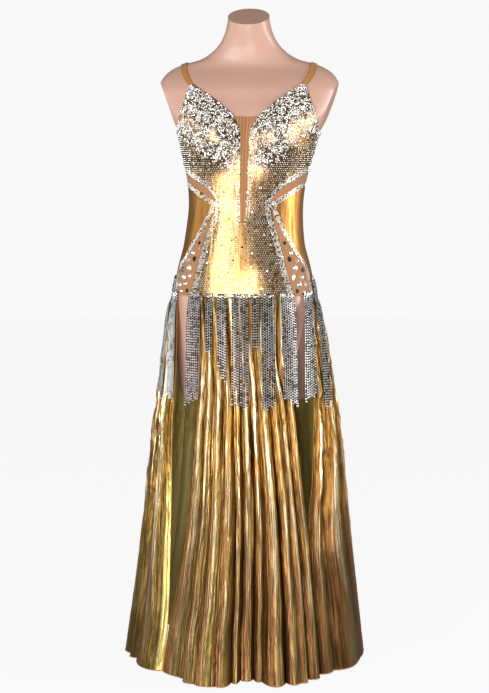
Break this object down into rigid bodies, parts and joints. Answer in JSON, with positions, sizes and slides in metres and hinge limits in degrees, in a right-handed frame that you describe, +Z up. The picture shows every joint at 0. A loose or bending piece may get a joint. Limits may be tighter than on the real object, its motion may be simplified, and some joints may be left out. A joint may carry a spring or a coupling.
{
  "type": "dress on a dress form",
  "caption": "Floor-length sleeveless gold dance dress with stone chain fringe and a slit pleated skirt, standing on a limbless dress form with a low round stand.",
  "frame": {"origin": "centre of the stand base's underside", "axes": "+Z up, -Y is the front of the dress, +X is on the right of a viewer who faces the front"},
  "size_m": [0.5589, 0.5558, 1.487],
  "materials": {
    "form_plastic": "smooth pink skin-tone plastic with a soft gloss",
    "stand_steel": "plain brushed steel",
    "foil_stretch": "gold foil stretch cloth, bright and metallic",
    "lame": "crinkled gold lame with an olive inner side",
    "tan_mesh": "fine ribbed tan mesh",
    "tan_elastic": "satin tan elastic",
    "stone_chain": "cut clear stones in silver cups"
  },
  "bodies": {
    "root": {"dress_form": "form_plastic", "stand_base": "stand_steel", "stand_pole": "stand_steel", "front_left": "foil_stretch", "front_right": "foil_stretch", "side_left": "foil_stretch", "side_right": "foil_stretch", "back": "foil_stretch", "plunge_insert": "tan_mesh", "waist_insert_left": "tan_mesh", "waist_insert_right": "tan_mesh", "hip_insert_left": "tan_mesh", "hip_insert_right": "tan_mesh", "strap_left": "tan_elastic", "strap_right": "tan_elastic", "skirt_front": "lame", "skirt_back": "lame", "fringe_left_back": "stone_chain", "fringe_left_side": "stone_chain", "fringe_left_slit": "stone_chain", "fringe_left_front": "stone_chain", "fringe_left_centre": "stone_chain", "fringe_centre": "stone_chain", "fringe_right_centre": "stone_chain", "fringe_right_front": "stone_chain", "fringe_right_slit": "stone_chain", "fringe_right_side": "stone_chain", "fringe_right_back": "stone_chain"}
  },
  "joints": []
}
